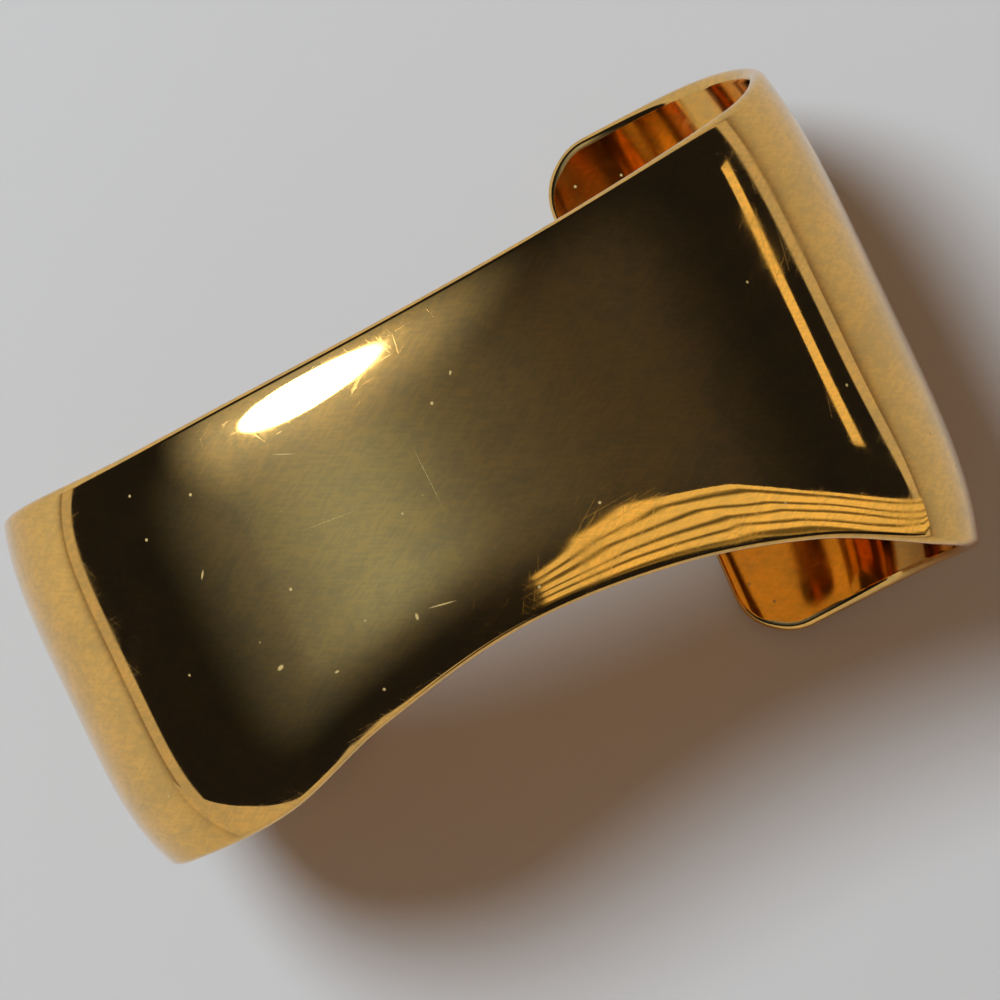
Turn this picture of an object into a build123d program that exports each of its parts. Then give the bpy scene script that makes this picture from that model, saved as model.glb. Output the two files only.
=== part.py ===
from build123d import *
import math
import os

# Open cuff bracelet: one strip of brass sheet, formed to an oval with a gap between its two tips.
#
# Units are millimetres.  X runs across the wrist, Y along the forearm and Z up.  The cuff stands on its
# two tips with its face up; the origin is on the ground, midway between the tips.
#
# The strip is cut into a front plate and two arms along two narrow slits, so that each arm can turn on a
# hinge line and stand in for the springing of the sheet.

# Driving dimensions
sheetThickness = 1.2
# Mid-line of the strip, from the top centre out to one tip: bend radius, then the turn in degrees at the
# arc's start and end.  A negative radius bends the other way, which makes the flared lip of the tip.
midLineArcs = [
    (61.5, 0, 13),
    (25.5, 13, 45),
    (13.0, 45, 75),
    (22.0, 75, 115),
    (16.5, 115, 172),
    (-4.5, 172, 145),
]
# Distance along the mid-line, then the edge on the +Y side and on the -Y side.
edgeStations = [
    (-70, 11.0, 13.2),
    (-48, 11.5, 14.1),
    (-31, 11.7, 14.4),
    (-21, 11.55, 14.0),
    (-12, 11.8, 11.45),
    (-1, 12.25, 9.6),
    (10, 13.0, 10.3),
    (20, 14.05, 12.8),
    (30, 15.4, 16.7),
    (38, 16.9, 18.2),
    (54, 19.0, 18.75),
    (70, 19.0, 19.35),
]
tipCornerRadius = 4.4
highEdgeDrop = 1.0      # how far the +Y edge rolls below the middle of the strip
lowEdgeDrop = 1.4       # the same for the -Y edge
flattenStart = 44.0     # from here to the tip the strip loses part of that roll
flattenShare = 0.3
footFlat = 0.05         # how far the tips' rims are dressed flat where the cuff stands on them
hingeDistance = 20.0    # along the mid-line, from the top centre
slitWidth = 0.3

# How the lofts are divided: sections along each piece, and spline points across a section
frontSections = 10
armSections = 14
cornerShares = (0.35, 0.65, 0.87, 1)    # shares of the way from the corner's start to the tip's rim
rimAngles = (30, 55, 75)                # degrees round the tip's rim
acrossShares = (-1, -0.8, -0.5, 0, 0.5, 0.8, 1)

# Worked out from the driving dimensions
edgeRadius = sheetThickness / 2
halfLength = sum(radius * math.radians(end - start) for radius, start, end in midLineArcs)


def midLine(distance):
    """Point (x, z) and turn in radians at a distance from the top centre, before the lift to the ground."""
    x = 0.0
    z = 0.0
    turn = 0.0
    left = abs(distance)
    for radius, start, end in midLineArcs:
        run = min(left, radius * math.radians(end - start))
        nextTurn = turn + run / radius
        # A circular arc: x = R (sin b - sin a) and z = R (cos b - cos a)
        x += radius * (math.sin(nextTurn) - math.sin(turn))
        z += radius * (math.cos(nextTurn) - math.cos(turn))
        turn = nextTurn
        left -= run
    return math.copysign(x, distance) if distance else 0.0, z, turn


# The round rim of each tip stands on its flat: the rim's centre is one edge radius up, less the flat.
groundLift = edgeRadius - footFlat - midLine(halfLength - edgeRadius)[1]


def hermite(distance, column):
    """Smooth curve through the edge stations, with each slope taken from the two neighbours."""
    rows = edgeStations
    i = max(k for k in range(len(rows) - 1) if rows[k][0] <= distance or k == 0)

    def slope(k):
        low = max(k - 1, 0)
        high = min(k + 1, len(rows) - 1)
        return (rows[high][column] - rows[low][column]) / (rows[high][0] - rows[low][0])

    span = rows[i + 1][0] - rows[i][0]
    u = (distance - rows[i][0]) / span
    return (
        (1 + 2 * u) * (1 - u) ** 2 * rows[i][column]
        + u * (1 - u) ** 2 * span * slope(i)
        + u * u * (3 - 2 * u) * rows[i + 1][column]
        + u * u * (u - 1) * span * slope(i + 1)
    )


def roundedInset(distance, radius):
    """How far a quarter circle of this radius has turned in, this close to the end of the strip."""
    past = max(0.0, abs(distance) - (halfLength - radius)) / radius
    return radius * (1 - math.sqrt(max(0.0, 1 - past * past)))


def edgeRoll(distance):
    """Share of the edge roll that is left here: all of it on the face and sides, less of it at the tips."""
    past = min(1.0, max(0.0, (abs(distance) - flattenStart) / (halfLength - flattenStart)))
    return 1 - flattenShare * past * past * (3 - 2 * past)


def crossSection(distance):
    """Closed section square to the mid-line: domed outside and inside, with half-round edges."""
    x, z, turn = midLine(distance)
    side = math.copysign(1, distance)
    outward = Vector(side * math.sin(turn), 0, math.cos(turn))
    middle = Vector(x, 0, z + groundLift)
    radius = edgeRadius - roundedInset(distance, edgeRadius)
    inset = roundedInset(distance, tipCornerRadius) + radius
    high = hermite(distance, 1) - inset
    low = -hermite(distance, 2) + inset

    def point(share, height, beyond=0.0):
        y = (low + high) / 2 + share * (high - low) / 2
        drop = (highEdgeDrop if share > 0 else lowEdgeDrop) * edgeRoll(distance) * share ** 4
        return middle + Vector(0, y + beyond, 0) + outward * (height - drop)

    outside = Spline([point(share, radius) for share in acrossShares])
    inside = Spline([point(share, -radius) for share in reversed(acrossShares)])
    highEdge = ThreePointArc(outside @ 1, point(1, 0, radius), inside @ 0)
    lowEdge = ThreePointArc(inside @ 1, point(-1, 0, -radius), outside @ 0)
    return Face(Wire([outside, highEdge, inside, lowEdge]))


def strip(distances):
    """Solid lofted through the cross-sections at these distances along the mid-line."""
    return loft([crossSection(distance) for distance in distances])


def evenSteps(start, end, count):
    return [start + (end - start) * k / count for k in range(count + 1)]


def armDistances():
    """From the hinge slit to the tip, closer together where the corner and the rim turn round."""
    cornerStart = halfLength - tipCornerRadius
    rimStart = halfLength - edgeRadius
    distances = evenSteps(hingeDistance + slitWidth / 2, cornerStart, armSections)
    distances += [cornerStart + (rimStart - cornerStart) * share for share in cornerShares]
    distances += [rimStart + edgeRadius * math.sin(math.radians(angle)) for angle in rimAngles]
    return distances


def frontPlate():
    reach = hingeDistance - slitWidth / 2
    return strip(evenSteps(-reach, reach, frontSections))


def aboveGround(solid):
    """The solid with its lowest sliver cut away at Z = 0, which leaves the flat on the tip's rim."""
    return split(solid, bisect_by=Plane.XY, keep=Keep.TOP)


def rightArm():
    return aboveGround(strip(armDistances()))


def leftArm():
    return aboveGround(strip([-distance for distance in armDistances()]))


os.makedirs("parts", exist_ok=True)
for name, shape in (("front_plate", frontPlate()), ("right_arm", rightArm()), ("left_arm", leftArm())):
    export_step(shape, f"parts/{name}.step")
    box = shape.bounding_box()
    print(name, round(shape.volume, 1), [round(v, 2) for v in (*box.min, *box.max)])

hingeX, hingeZ, hingeTurn = midLine(hingeDistance)
print("half length", round(halfLength, 2), "hinge x, z", round(hingeX, 3), round(hingeZ + groundLift, 3))
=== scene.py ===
import math

import bpy
import numpy as np
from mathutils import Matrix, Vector


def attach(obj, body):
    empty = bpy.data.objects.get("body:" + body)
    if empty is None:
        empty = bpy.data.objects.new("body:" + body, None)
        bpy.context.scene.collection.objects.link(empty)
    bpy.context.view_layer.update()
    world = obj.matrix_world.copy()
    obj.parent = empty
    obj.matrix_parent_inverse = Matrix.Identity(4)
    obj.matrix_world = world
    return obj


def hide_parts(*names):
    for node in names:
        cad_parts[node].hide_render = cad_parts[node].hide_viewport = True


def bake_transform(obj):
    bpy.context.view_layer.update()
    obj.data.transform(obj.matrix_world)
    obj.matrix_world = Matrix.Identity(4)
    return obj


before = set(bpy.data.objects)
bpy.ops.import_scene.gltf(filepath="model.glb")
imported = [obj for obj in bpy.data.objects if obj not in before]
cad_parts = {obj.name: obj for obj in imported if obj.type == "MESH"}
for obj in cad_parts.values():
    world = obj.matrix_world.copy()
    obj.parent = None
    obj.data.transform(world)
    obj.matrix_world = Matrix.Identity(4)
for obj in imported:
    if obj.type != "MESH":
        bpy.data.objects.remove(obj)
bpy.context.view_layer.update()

print("frame loaded:", sorted(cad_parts))


def linearColour(hexText):  # sRGB hex to linear RGBA
    srgb = np.array([int(hexText[k:k + 2], 16) for k in (1, 3, 5)]) / 255
    linear = np.where(srgb <= 0.04045, srgb / 12.92, ((srgb + 0.055) / 1.055) ** 2.4)
    return (*linear.tolist(), 1.0)


def addNode(tree, kind, settings=None, links=None):  # a node with its settings, and what feeds each input
    node = tree.nodes.new(kind)
    for name, value in (settings or {}).items():
        if isinstance(name, str) and hasattr(node, name):
            setattr(node, name, value)
        else:
            node.inputs[name].default_value = value
    for name, source in (links or {}).items():
        tree.links.new(source, node.inputs[name])
    return node


# the strip's shape, in mm: distance runs along the strip from its middle, y across it

cuff = {
    "sheet": 1.2,
    "bends": [  # bend radius, then the turn in degrees at the arc's start and end
        (61.5, 0, 13), (25.5, 13, 45), (13.0, 45, 75), (22.0, 75, 115), (16.5, 115, 172), (-4.5, 172, 145),
    ],
    "edges": [  # distance, edge on the +Y side, edge on the -Y side
        (-70, 11.0, 13.2), (-48, 11.5, 14.1), (-31, 11.7, 14.4), (-21, 11.55, 14.0),
        (-12, 11.8, 11.45), (-1, 12.25, 9.6), (10, 13.0, 10.3), (20, 14.05, 12.8),
        (30, 15.4, 16.7), (38, 16.9, 18.2), (54, 19.0, 18.75), (70, 19.0, 19.35),
    ],
    "tipCorner": 4.4,
    "highEdgeDrop": 1.0,  # how far each long edge rolls below the middle
    "lowEdgeDrop": 1.4,
    "footFlat": 0.05,  # mm that the tips' rims are dressed flat where the cuff stands on them
    "flattenStart": 44.0,  # from here to the tip the strip loses part of that roll
    "flattenShare": 0.3,
    "frontReach": 12.0,  # where the front skin hands over to the arm skins
    "flexReach": 27.0,  # where an arm skin would have fully joined its arm
    "rowStep": 0.25,
    "columns": 57,
    "rimSteps": 12,
    "cornerSteps": 14,
    "nudge": 0.01,  # how far apart two points are taken to find a slope
}
rimRadius = cuff["sheet"] / 2
halfLength = sum(radius * math.radians(end - start) for radius, start, end in cuff["bends"])


# arcs laid end to end: x grows by R (sin b - sin a) and z by R (cos b - cos a) as the turn goes a to b
def midLine(distance):
    left = np.abs(distance)
    x, z, turn = np.zeros_like(left), np.zeros_like(left), np.zeros_like(left)
    for radius, start, end in cuff["bends"]:
        run = np.clip(left, 0, radius * math.radians(end - start))
        nextTurn = turn + run / radius
        x += radius * (np.sin(nextTurn) - np.sin(turn))
        z += radius * (np.cos(nextTurn) - np.cos(turn))
        turn = nextTurn
        left = left - run
    return np.sign(distance) * x, z, np.sign(distance) * turn


groundLift = rimRadius - cuff["footFlat"] - float(midLine(np.array([halfLength - rimRadius]))[1][0])


def edgeAt(distance, column):  # cubic through the edge stations, each slope taken from its two neighbours
    stations = np.array(cuff["edges"])
    along, across = stations[:, 0], stations[:, column]
    slope = np.gradient(across, along)
    slope[1:-1] = (across[2:] - across[:-2]) / (along[2:] - along[:-2])
    i = np.clip(np.searchsorted(along, distance, side="right") - 1, 0, len(along) - 2)
    span = along[i + 1] - along[i]
    u = (distance - along[i]) / span
    return ((1 + 2 * u) * (1 - u) ** 2 * across[i] + u * (1 - u) ** 2 * span * slope[i]
            + u * u * (3 - 2 * u) * across[i + 1] + u * u * (u - 1) * span * slope[i + 1])


# the mid-line carried across, with the edges rolled down by the fourth power of y
def midSurface(distance, y):
    x, z, turn = midLine(distance)
    high = edgeAt(distance, 1) - rimRadius
    low = rimRadius - edgeAt(distance, 2)
    share = (y - (high + low) / 2) / ((high - low) / 2)
    past = np.clip((np.abs(distance) - cuff["flattenStart"]) / (halfLength - cuff["flattenStart"]), 0, 1)
    roll = 1 - cuff["flattenShare"] * past * past * (3 - 2 * past)
    drop = np.where(share > 0, cuff["highEdgeDrop"], cuff["lowEdgeDrop"]) * roll * share ** 4
    return np.stack([x - drop * np.sin(turn), y, z + groundLift - drop * np.cos(turn)], -1)


def unit(vectors):
    return vectors / np.linalg.norm(vectors, axis=-1, keepdims=True)


# a skin point is the mid-surface moved by the rim radius, at an angle between the surface's own normal (90
# degrees, or -90 on the inside) and the way out of the outline (0 degrees)
def skinPoints(distance, y, angle, outAlong, outAcross):
    step = cuff["nudge"]
    alongWay = unit(midSurface(distance + step, y) - midSurface(distance - step, y))
    acrossWay = unit(midSurface(distance, y + step) - midSurface(distance, y - step))
    normal = unit(np.cross(alongWay, acrossWay))
    out = outAlong[..., None] * alongWay + outAcross[..., None] * acrossWay
    lean = np.cos(angle)[..., None] * out + np.sin(angle)[..., None] * normal
    return midSurface(distance, y) + rimRadius * lean, unit(lean)


# one long edge, set in by the rim radius: it follows the stations, and a quarter circle ends it at the tip
def insetEdge(rows, column, side, cornerAngles):
    sign = 1 if column == 1 else -1
    distance = side * rows
    step = cuff["nudge"]
    slope = sign * (edgeAt(distance + step, column) - edgeAt(distance - step, column)) / (2 * step)
    out = unit(np.stack([-slope * sign, np.full_like(slope, 1.0)], -1)) * np.array([1, sign])
    spot = np.stack([distance, sign * edgeAt(distance, column)], -1) - rimRadius * out
    if len(cornerAngles):
        corner = cuff["tipCorner"]
        reach = halfLength - corner + (corner - rimRadius) * np.sin(cornerAngles)
        rise = edgeAt(side * reach, column) - corner + (corner - rimRadius) * np.cos(cornerAngles)
        spot = np.concatenate([spot, np.stack([side * reach, sign * rise], -1)])
        out = np.concatenate([out, np.stack([side * np.sin(cornerAngles), sign * np.cos(cornerAngles)], -1)])
    return spot, out


# closed skin: rows along the strip, and round each row the outside, the high rim, the inside and the low rim
def makeSkin(name, rows, side=1, tip=False):
    cornerAngles = np.radians(np.linspace(0, 90, cuff["cornerSteps"] + 1)[1:]) if tip else np.array([])
    high, highOut = insetEdge(rows, 1, side, cornerAngles)
    low, lowOut = insetEdge(rows, 2, side, cornerAngles)
    count, columns, rim = len(high), cuff["columns"], cuff["rimSteps"]
    share = np.linspace(0, 1, columns)
    rimAngles = np.pi / 2 - np.pi * np.arange(1, rim) / rim
    shares = np.concatenate([share, np.ones(rim - 1), share[::-1], np.zeros(rim - 1)])
    outside, underside = np.full(columns, np.pi / 2), np.full(columns, -np.pi / 2)
    angles = np.concatenate([outside, rimAngles, underside, rimAngles[::-1]])
    outs = np.where(shares[None, :, None] > 0.5, highOut[:, None], lowOut[:, None])
    spots = low[:, None] + shares[None, :, None] * (high - low)[:, None]
    loop = len(shares)
    angles = np.tile(angles, (count, 1))
    points, normals = skinPoints(spots[..., 0], spots[..., 1], angles, outs[..., 0], outs[..., 1])
    index = np.arange(count * loop).reshape(count, loop)
    around = np.roll(index, -1, axis=1)
    quads = [np.stack([index[:-1], index[1:], around[1:], around[:-1]], -1).reshape(-1, 4)]
    points, normals = points.reshape(-1, 3), normals.reshape(-1, 3)
    caps = [index[0]]
    if tip:  # the rim turned round the end of the tip, between the two side rims
        last = spots[-1, 1:columns - 1]
        endAngles = np.repeat(rimAngles[:, None], columns - 2, axis=1)
        distance = np.tile(last[:, 0], (rim - 1, 1))
        across = np.tile(last[:, 1], (rim - 1, 1))
        endPoints, endNormals = skinPoints(
            distance, across, endAngles, np.full_like(distance, side), np.zeros_like(distance))
        ring = index[-1]
        inner = np.arange(len(points), len(points) + endAngles.size).reshape(rim - 1, columns - 2)
        lowRim = ring[columns * 2 + rim - 1:][::-1, None]
        highRim = ring[columns:columns + rim - 1, None]
        grid = np.concatenate([
            ring[None, :columns],
            np.concatenate([lowRim, inner, highRim], 1),
            ring[None, columns + rim - 1:columns * 2 + rim - 1][:, ::-1],
        ])
        quads.append(np.stack([grid[:-1, :-1], grid[1:, :-1], grid[1:, 1:], grid[:-1, 1:]], -1).reshape(-1, 4))
        points = np.concatenate([points, endPoints.reshape(-1, 3)])
        normals = np.concatenate([normals, endNormals.reshape(-1, 3)])
    else:
        caps.append(index[-1][::-1])
    faces = [face for block in quads for face in block.tolist()] + [cap.tolist() for cap in caps]
    if side < 0:
        faces = [face[::-1] for face in faces]
    mesh = bpy.data.meshes.new(name)
    points[:, 2] = np.maximum(points[:, 2], 0)  # the flat on the rim
    mesh.from_pydata((points / 1000).tolist(), [], faces)
    inside = np.zeros(len(faces), int)
    inwards = np.zeros(loop, int)
    inwards[columns + rim - 1:columns * 2 + rim - 2] = 1
    inside[:(count - 1) * loop] = np.tile(inwards, count - 1)
    mesh.polygons.foreach_set("material_index", inside)
    mesh.shade_smooth()
    mesh.normals_split_custom_set_from_vertices(normals.tolist())
    piece = bpy.data.objects.new(name, mesh)
    bpy.context.scene.collection.objects.link(piece)
    return piece


def rowsBetween(start, end):
    return np.linspace(start, end, int(round((end - start) / cuff["rowStep"])) + 1)


frontSkin = makeSkin("frontSkin", rowsBetween(-cuff["frontReach"], cuff["frontReach"]))
armRows = rowsBetween(cuff["frontReach"], halfLength - cuff["tipCorner"])
rightSkin = makeSkin("rightArmSkin", armRows, 1, True)
leftSkin = makeSkin("leftArmSkin", armRows, -1, True)
print("skins made")

# gold-tone brass: rolled sheet, formed, then buffed to a mirror and handled: sharp, with a soft haze in places

metal = {
    "gold": "#FFCB70",
    "goldSize": 11.0,  # mm, the clouds between the gold and the deeper gold
    "deepGold": "#FBBE62",
    "insideGoldPaintedBounce": "#FFC462",  # painted bounce light: the inside is given a deeper gold than the outside, standing in for gold reflecting gold inside the cuff
    # the deeper inside gold in clouds, also painted bounce light
    "insideDeepGoldPaintedBounce": "#F8B44E",
    "tarnish": "#BFA56A",  # a thin film that dulls it in clouds
    "tarnishShare": 0.38,
    "tarnishSize": 5.0,  # mm
    "roughness": 0.03,
    "insideRoughness": 0.07,  # the inside is a little less polished
    "smudgeRoughness": 0.07,  # added where fingers have left a haze
    "smudgeSize": 7.0,  # mm
    "strokeLength": 1.1,  # mm
    "strokeWidth": 0.22,  # mm
    "strokeAngles": (-24, 31),
    "strokeShare": 0.3,
    "hairlineLength": 7.0,  # mm
    "hairlineWidth": 0.05,  # mm, wider than the real ones so that they show
    "hairlineAngles": (4, 38, -52, 77),
    "hairlineDepth": 0.0009,  # mm
    "hairlineRoughness": 0.16,
    "speckSpacing": 1.7,  # mm
    "speckSize": 0.14,  # mm
    "speck": "#C9AE72",
    "speckRoughness": 0.8,
    "marks": (  # lint and nicks on the face: x, y, turn in degrees, length, width; all mm
        (-5.0, -6.0, -10, 2.2, 0.13), (-6.8, -6.0, 80, 0.6, 0.28), (-9.2, 2.0, -5, 4.6, 0.035),
        (-2.3, 1.8, 91, 5.2, 0.03), (-10.0, 7.1, -24, 2.0, 0.09), (1.9, 7.2, 60, 0.4, 0.2),
        (-18.2, 2.4, 55, 0.8, 0.16), (-16.2, -5.2, 20, 0.6, 0.35), (-13.0, -7.0, 0, 0.4, 0.2),
    ),
    "pitSpacing": 4.3,  # mm
    "pitSize": 0.09,  # mm
    "pitDepth": 0.02,  # mm
    "ripple": 0.004,  # mm, what is left of the forming after the buffing
    "rippleSize": 6.0,  # mm
    "grain": 0.0004,  # mm
    "grainSize": 0.35,  # mm
    "grainStretch": (0.12, 1.0, 0.12),
}


def perMetre(millimetres):  # the scale of a noise whose pattern repeats at this size
    return 1000.0 / millimetres


# a metal: no diffuse, its colour is all in the reflection, and the reflection blurs where it is handled
def polishedBrass(name, gold, deepGold, roughnessNow):
    material = bpy.data.materials.new(name)
    material.use_nodes = True
    tree = material.node_tree
    tree.nodes.clear()
    place = addNode(tree, "ShaderNodeTexCoord").outputs["Object"]

    def range01(source, low, high):
        settings = {"interpolation_type": "SMOOTHSTEP", "From Min": low, "From Max": high}
        return addNode(tree, "ShaderNodeMapRange", settings, {"Value": source}).outputs["Result"]

    def math2(operation, first, second):
        node = addNode(tree, "ShaderNodeMath", {"operation": operation}, {0: first})
        if isinstance(second, float):
            node.inputs[1].default_value = second
        else:
            tree.links.new(second, node.inputs[1])
        return node.outputs[0]

    # round dots, one to a cell, and only in the cells whose own colour is high
    def spots(spacing, size, seed):
        settings = {"Location": (seed, 2 * seed, 3 * seed)}
        shifted = addNode(tree, "ShaderNodeMapping", settings, {"Vector": place}).outputs[0]
        cells = addNode(tree, "ShaderNodeTexVoronoi", {"Scale": perMetre(spacing)}, {"Vector": shifted})
        reach = size / spacing
        dot = range01(cells.outputs["Distance"], reach, reach * 0.45)
        lucky = range01(cells.outputs["Color"], 0.57, 0.6)
        return math2("MULTIPLY", dot, lucky)

    def drawnOut(length, width, rotation, detail):  # noise stretched into lines of this length and width
        settings = {"vector_type": "TEXTURE", "Rotation": rotation, "Scale": (length, width, length)}
        turned = addNode(tree, "ShaderNodeMapping", settings, {"Vector": place})
        lines = {"Scale": perMetre(1.0), "Detail": detail}
        return addNode(tree, "ShaderNodeTexNoise", lines, {"Vector": turned.outputs[0]}).outputs["Fac"]

    tint = addNode(
        tree, "ShaderNodeTexNoise", {"Scale": perMetre(metal["goldSize"]), "Detail": 4.0}, {"Vector": place})
    colour = addNode(tree, "ShaderNodeMix", {"data_type": "RGBA"}, {"Factor": tint.outputs["Fac"]})
    colour.inputs[6].default_value = linearColour(gold)
    colour.inputs[7].default_value = linearColour(deepGold)
    clouds = addNode(
        tree, "ShaderNodeTexNoise",
        {"Scale": perMetre(metal["tarnishSize"]), "Detail": 8.0, "Roughness": 0.68, "Distortion": 1.2},
        {"Vector": place})
    film = math2("MULTIPLY", range01(clouds.outputs["Fac"], 0.4, 0.66), metal["tarnishShare"])
    colour = addNode(tree, "ShaderNodeMix", {"data_type": "RGBA"}, {"Factor": film, 6: colour.outputs[2]})
    colour.inputs[7].default_value = linearColour(metal["tarnish"])

    smudge = addNode(
        tree, "ShaderNodeTexNoise",
        {"Scale": perMetre(metal["smudgeSize"]), "Detail": 7.0, "Roughness": 0.62, "Distortion": 0.6},
        {"Vector": place})
    haze = range01(smudge.outputs["Fac"], 0.42, 0.72)

    hairlines = None
    for number, angle in enumerate(metal["hairlineAngles"]):  # noise drawn out into lines, a set to each angle
        rotation = (0.2 * number, 0.1, math.radians(angle))
        lines = drawnOut(metal["hairlineLength"], metal["hairlineWidth"], rotation, 1.0)
        drawn = range01(lines, 0.68, 0.78)
        hairlines = drawn if hairlines is None else math2("MAXIMUM", hairlines, drawn)

    ripple = addNode(
        tree, "ShaderNodeTexNoise", {"Scale": perMetre(metal["rippleSize"]), "Detail": 1.5}, {"Vector": place})
    stretched = addNode(tree, "ShaderNodeMapping", {"Scale": metal["grainStretch"]}, {"Vector": place})
    grain = addNode(
        tree, "ShaderNodeTexNoise", {"Scale": perMetre(metal["grainSize"]), "Detail": 2.0},
        {"Vector": stretched.outputs[0]})
    pits = spots(metal["pitSpacing"], metal["pitSize"], 0.37)
    specks = spots(metal["speckSpacing"], metal["speckSize"], 0.11)
    for x, y, turn, length, width in metal["marks"]:  # each mark fades out from its own middle line
        settings = {
            "vector_type": "TEXTURE", "Location": (x / 1000, y / 1000, 0),
            "Rotation": (0, 0, math.radians(turn)), "Scale": (length / 2000, width / 2000, 1.0)}
        there = addNode(tree, "ShaderNodeMapping", settings, {"Vector": place})
        flatten = {"operation": "MULTIPLY", 1: (1, 1, 0)}
        flat = addNode(tree, "ShaderNodeVectorMath", flatten, {0: there.outputs[0]})
        away = addNode(tree, "ShaderNodeVectorMath", {"operation": "LENGTH"}, {0: flat.outputs[0]})
        specks = math2("MAXIMUM", specks, range01(away.outputs["Value"], 1.0, 0.4))

    strokes = None
    for angle in metal["strokeAngles"]:  # short rubbed strokes, two ways across one another
        rubbed = drawnOut(metal["strokeLength"], metal["strokeWidth"], (0, 0, math.radians(angle)), 2.0)
        strokes = rubbed if strokes is None else math2("MULTIPLY", strokes, rubbed)
    dull = math2("MULTIPLY", range01(strokes, 0.17, 0.34), metal["strokeShare"])
    colour = addNode(tree, "ShaderNodeMix", {"data_type": "RGBA"}, {"Factor": dull, 6: colour.outputs[2]})
    colour.inputs[7].default_value = linearColour(metal["tarnish"])

    roughness = math2("MULTIPLY_ADD", haze, metal["smudgeRoughness"])
    roughness.node.inputs[2].default_value = roughnessNow
    hairlines = math2("MULTIPLY", hairlines, haze)
    roughness = math2("MAXIMUM", roughness, math2("MULTIPLY", hairlines, metal["hairlineRoughness"]))

    bump = None
    heights = (
        (ripple.outputs["Fac"], metal["ripple"]), (grain.outputs["Fac"], metal["grain"]),
        (hairlines, -metal["hairlineDepth"]), (pits, -metal["pitDepth"]))
    for source, height in heights:
        settings = {"Strength": 1.0, "Distance": abs(height) / 1000, "invert": height < 0}
        links = {"Height": source} if bump is None else {"Height": source, "Normal": bump.outputs["Normal"]}
        bump = addNode(tree, "ShaderNodeBump", settings, links)

    surface = addNode(
        tree, "ShaderNodeBsdfPrincipled", {"Metallic": 1.0},
        {"Base Color": colour.outputs[2], "Roughness": roughness, "Normal": bump.outputs["Normal"]})
    dust = addNode(
        tree, "ShaderNodeBsdfPrincipled",
        {"Base Color": linearColour(metal["speck"]), "Roughness": metal["speckRoughness"]})
    both = addNode(
        tree, "ShaderNodeMixShader", {}, {0: specks, 1: surface.outputs["BSDF"], 2: dust.outputs["BSDF"]})
    addNode(tree, "ShaderNodeOutputMaterial", {}, {"Surface": both.outputs[0]})
    return material


outsideBrass = polishedBrass("polishedBrass", metal["gold"], metal["deepGold"], metal["roughness"])
# the inside: a little less polished, and a deeper gold painted in as the bounce light between the gold walls
insideBrassPaintedBounce = polishedBrass(
    "satinBrassPaintedBounce", metal["insideGoldPaintedBounce"], metal["insideDeepGoldPaintedBounce"], metal["insideRoughness"])
for piece in (frontSkin, leftSkin, rightSkin):
    piece.data.materials.append(outsideBrass)
    piece.data.materials.append(insideBrassPaintedBounce)
print("material made")

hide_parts("front_plate")
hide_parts("left_arm")
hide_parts("right_arm")
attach(frontSkin, "front")
for piece, body, side in ((leftSkin, "left_arm", -1), (rightSkin, "right_arm", 1)):
    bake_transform(piece)

studio = {
    "floorHalf": 1.2,
    "floor": "#CDCBCC",
    "floorRoughness": 0.9,
    "cuffMiddle": 0.035,  # the height that the lamp and the cards are centred on
    "horizon": (0.055, 0.045),  # the sine of the elevation where the dark room gives way to the pale floor
    "keyTilt": (-19.0, 28.0),  # degrees off straight up, towards X and Y
    "keyDistance": 0.9,
    "keySize": (0.34, 0.30),
    "keyPower": 8.2,
    "windowTilt": (-17.0, 31.5),
    "windowSize": (0.33, 0.28),
    "windowGlow": 12.0,
    "windowLight": "#F6FAFF",
    "keyLight": "#E6F7FF",
    "fill": "#E3BC9C",
    "fillGlow": 0.34,
    "roomDark": "#20212A",
    "patches": (  # soft light in the dark room: tilt towards X and Y, reach in degrees, colour, strength
        (-15, -3, 19, "#BCDDFF", 0.28), (-21, 4, 42, "#C8DCFF", 0.26), (-17, 32, 32, "#DCE8FF", 0.9),
        (14, 0, 50, "#F0F0FF", 0.06),
    ),
    "domeRadius": 0.6,
    "cardColumns": 48,
    "cardRows": 16,
    "ovalCorners": 64,
    "reveal": "#F2DFAE",
    "revealFoot": ((-9, 10.8), (17, 6.9)),  # bearing and elevation in degrees, as for all the cards
    "revealTop": ((-9, 14.4), (17, 10.3)),
    "drape": "#F0DCA6",
    "drapeGlow": 1.05,
    # how far the painted shade in the drape's folds dims its glow
    "drapeFoldShade": 0.85,
    "drapeFoot": ((-88, 35), (-80, 36), (-66, 36), (-52, 28), (-38, 12), (-27, -3)),
    "drapeTop": ((-86, 60), (-67, 70), (-42, 69), (-30, 54), (-28, 32), (-19, -3)),
    "risingFoot": ((-172, -4), (-150, -4), (-128, -4), (-106, -4), (-90, -4)),
    "risingTop": ((-166, 0), (-150, 12), (-128, 24), (-106, 36), (-89, 31)),
    "pale": "#C4C0BB",
    "camera": (0.00125, -0.00155, 0.400),
    "cameraTurn": 25.58,
    "lens": 201.9,
}


def tiltWay(tiltX, tiltY):  # direction that leans off straight up by these angles towards X and towards Y
    way = np.array([math.tan(math.radians(tiltX)), math.tan(math.radians(tiltY)), 1.0])
    return way / np.linalg.norm(way)


def reflectionOnly(card):  # shows only in the polish, as a card held beside the camera would
    card.visible_camera = False
    card.visible_diffuse = False
    card.visible_shadow = False
    card.visible_transmission = False


def addMesh(name, points, faces, material):
    mesh = bpy.data.meshes.new(name)
    mesh.from_pydata(points, [], faces)
    mesh.materials.append(material)
    thing = bpy.data.objects.new(name, mesh)
    bpy.context.scene.collection.objects.link(thing)
    return thing


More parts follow.
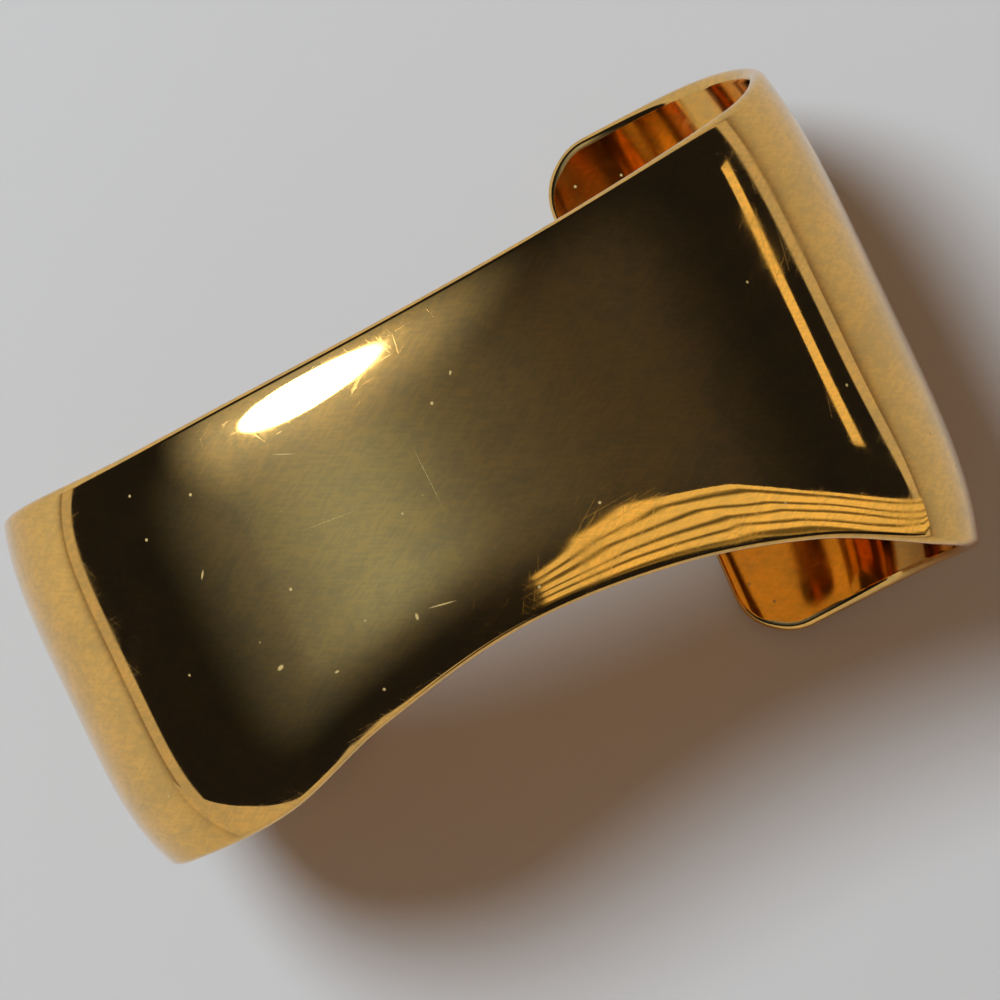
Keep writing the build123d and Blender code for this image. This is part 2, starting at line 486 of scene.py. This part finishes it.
def makeFloor():
    material = bpy.data.materials.new("paleCloth")
    material.use_nodes = True
    shader = material.node_tree.nodes["Principled BSDF"]
    shader.inputs["Base Color"].default_value = linearColour(studio["floor"])
    shader.inputs["Roughness"].default_value = studio["floorRoughness"]
    half = studio["floorHalf"]
    corners = [(-half, -half, 0), (half, -half, 0), (half, half, 0), (-half, half, 0)]
    addMesh("floor", corners, [(0, 1, 2, 3)], material)


# a card on a dome round the cuff: the foot line and the top line are lists of (bearing, elevation) in degrees,
# joined by straight stretches, and the card is the grid between them; bearing 0 is +X and 90 is +Y
def makeDomeCard(name, foot, top, material):
    radius, columns, rows = studio["domeRadius"], studio["cardColumns"], studio["cardRows"]
    along = np.linspace(0, 1, columns)

    def line(stops):
        stops = np.array(stops, float)
        share = np.linspace(0, 1, len(stops))
        return np.stack([np.interp(along, share, stops[:, 0]), np.interp(along, share, stops[:, 1])], -1)

    share = np.linspace(0, 1, rows)[:, None, None]
    angles = np.radians((1 - share) * line(foot) + share * line(top))
    bearing, elevation = angles[..., 0], angles[..., 1]
    points = radius * np.stack(
        [np.cos(elevation) * np.cos(bearing), np.cos(elevation) * np.sin(bearing), np.sin(elevation)], -1)
    points[..., 2] += studio["cuffMiddle"]
    index = np.arange(rows * columns).reshape(rows, columns)
    faces = np.stack([index[:-1, :-1], index[:-1, 1:], index[1:, 1:], index[1:, :-1]], -1).reshape(-1, 4)
    card = addMesh(name, points.reshape(-1, 3).tolist(), faces.tolist(), material)
    map2d = card.data.uv_layers.new(name="card")
    u, v = np.meshgrid(along, np.linspace(0, 1, rows))
    uv = np.stack([u, v], -1).reshape(-1, 2)[faces.ravel()]
    map2d.data.foreach_set("uv", uv.ravel())
    reflectionOnly(card)


def makeOval(name, way, distance, size, material):  # a flat oval facing the cuff, its long way level
    level = unit(np.cross([0, 0, 1.0], way))
    rise = np.cross(way, level)
    corners = studio["ovalCorners"]
    turn = np.linspace(0, 2 * np.pi, corners, endpoint=False)[:, None]
    ring = way * distance + size[0] / 2 * np.cos(turn) * level + size[1] / 2 * np.sin(turn) * rise
    ring[:, 2] += studio["cuffMiddle"]
    reflectionOnly(addMesh(name, ring.tolist(), [list(range(corners))], material))


# a lit cloth or board; its folds, running the card's long way, are painted shade that dims the glow
def glowing(name, colour, strength, foldShade=0.0):
    material = bpy.data.materials.new(name)
    material.use_nodes = True
    tree = material.node_tree
    tree.nodes.clear()
    glow = addNode(tree, "ShaderNodeEmission", {"Color": linearColour(colour), "Strength": strength})
    if foldShade:
        place = addNode(tree, "ShaderNodeTexCoord").outputs["UV"]
        spread = addNode(tree, "ShaderNodeMapping", {"Scale": (0.45, 1.0, 1.0)}, {"Vector": place})
        cloth = addNode(
            tree, "ShaderNodeTexWave",
            {"bands_direction": "Y", "Scale": 1.5, "Distortion": 9.5, "Detail": 3.0, "Detail Scale": 1.1},
            {"Vector": spread.outputs[0]})
        # painted shade: the glow dims where the cloth folds in
        shade = addNode(
            tree, "ShaderNodeMapRange",
            {"From Min": 0.02, "From Max": 0.5, "To Min": 1 - foldShade, "To Max": 1.0},
            {"Value": cloth.outputs["Fac"]})
        bright = addNode(tree, "ShaderNodeMath", {"operation": "MULTIPLY", 1: strength}, {0: shade.outputs[0]})
        tree.links.new(bright.outputs[0], glow.inputs["Strength"])
    addNode(tree, "ShaderNodeOutputMaterial", {}, {"Surface": glow.outputs[0]})
    return material


def makeCards():
    pale = glowing("litBoard", studio["pale"], 1.0)
    cloth = glowing("litCloth", studio["drape"], studio["drapeGlow"], studio["drapeFoldShade"])
    makeOval(
        "window", tiltWay(*studio["windowTilt"]), studio["keyDistance"], studio["windowSize"],
        glowing("daylight", studio["windowLight"], studio["windowGlow"]))
    reveal = glowing("litReveal", studio["reveal"], 1.0)
    makeDomeCard("reveal", studio["revealFoot"], studio["revealTop"], reveal)
    makeDomeCard("drape", studio["drapeFoot"], studio["drapeTop"], cloth)
    makeDomeCard("risingCloth", studio["risingFoot"], studio["risingTop"], pale)


def makeLight(name, way, distance, size, power, colour):
    data = bpy.data.lights.new(name, "AREA")
    data.shape = "ELLIPSE"
    data.size, data.size_y = size
    data.energy = power
    data.color = linearColour(colour)[:3]
    light = bpy.data.objects.new(name, data)
    light.location = way * distance + np.array([0, 0, studio["cuffMiddle"]])
    light.rotation_euler = Vector(way).to_track_quat("Z", "Y").to_euler()
    bpy.context.scene.collection.objects.link(light)
    return light


def makeWorld():  # pale to the eye, a soft fill on cloth, and a dark room with a dim window in the polish
    world = bpy.data.worlds.new("room")
    world.use_nodes = True
    tree = world.node_tree
    tree.nodes.clear()
    way = addNode(tree, "ShaderNodeTexCoord").outputs["Generated"]
    rays = addNode(tree, "ShaderNodeLightPath")
    seen = None
    for tiltX, tiltY, reach, colour, strength in studio["patches"]:
        settings = {"operation": "DOT_PRODUCT", 1: tuple(tiltWay(tiltX, tiltY))}
        facing = addNode(tree, "ShaderNodeVectorMath", settings, {0: way})
        angle = addNode(tree, "ShaderNodeMath", {"operation": "ARCCOSINE"}, {0: facing.outputs["Value"]})
        patch = addNode(
            tree, "ShaderNodeMapRange",
            {"interpolation_type": "SMOOTHSTEP", "From Min": math.radians(reach), "From Max": 0.0},
            {"Value": angle.outputs[0]})
        glow = addNode(tree, "ShaderNodeMath", {"operation": "MULTIPLY", 1: strength}, {0: patch.outputs[0]})
        lit = addNode(
            tree, "ShaderNodeBackground", {"Color": linearColour(colour)}, {"Strength": glow.outputs[0]})
        if seen is not None:
            lit = addNode(tree, "ShaderNodeAddShader", {}, {0: seen.outputs[0], 1: lit.outputs[0]})
        seen = lit
    room = addNode(tree, "ShaderNodeBackground", {"Color": linearColour(studio["roomDark"]), "Strength": 1.0})
    seen = addNode(tree, "ShaderNodeAddShader", {}, {0: seen.outputs[0], 1: room.outputs[0]})
    height = addNode(tree, "ShaderNodeSeparateXYZ", {}, {0: way}).outputs["Z"]
    top, foot = studio["horizon"]
    low = addNode(tree, "ShaderNodeMapRange", {"From Min": top, "From Max": foot}, {"Value": height})
    horizon = addNode(tree, "ShaderNodeBackground", {"Color": linearColour(studio["pale"]), "Strength": 1.0})
    seen = addNode(
        tree, "ShaderNodeMixShader", {}, {0: low.outputs[0], 1: seen.outputs[0], 2: horizon.outputs[0]})
    fill = addNode(
        tree, "ShaderNodeBackground", {"Color": linearColour(studio["fill"]), "Strength": studio["fillGlow"]})
    plain = addNode(
        tree, "ShaderNodeMixShader", {},
        {0: rays.outputs["Is Camera Ray"], 1: fill.outputs[0], 2: horizon.outputs[0]})
    mix = addNode(
        tree, "ShaderNodeMixShader", {},
        {0: rays.outputs["Is Glossy Ray"], 1: plain.outputs[0], 2: seen.outputs[0]})
    addNode(tree, "ShaderNodeOutputWorld", {}, {"Surface": mix.outputs[0]})
    bpy.context.scene.world = world


makeFloor()
makeCards()
key = makeLight(
    "key", tiltWay(*studio["keyTilt"]), studio["keyDistance"], studio["keySize"], studio["keyPower"],
    studio["keyLight"])
key.visible_glossy = False  # the polish sees the window itself
makeWorld()

cameraData = bpy.data.cameras.new("camera")
cameraData.lens = studio["lens"]
cameraData.clip_start = 0.01
camera = bpy.data.objects.new("camera", cameraData)
camera.location = studio["camera"]
camera.rotation_euler = (0, 0, -math.radians(studio["cameraTurn"]))
bpy.context.scene.collection.objects.link(camera)
bpy.context.scene.camera = camera
bpy.context.scene.view_settings.view_transform = "Standard"
print("studio made")
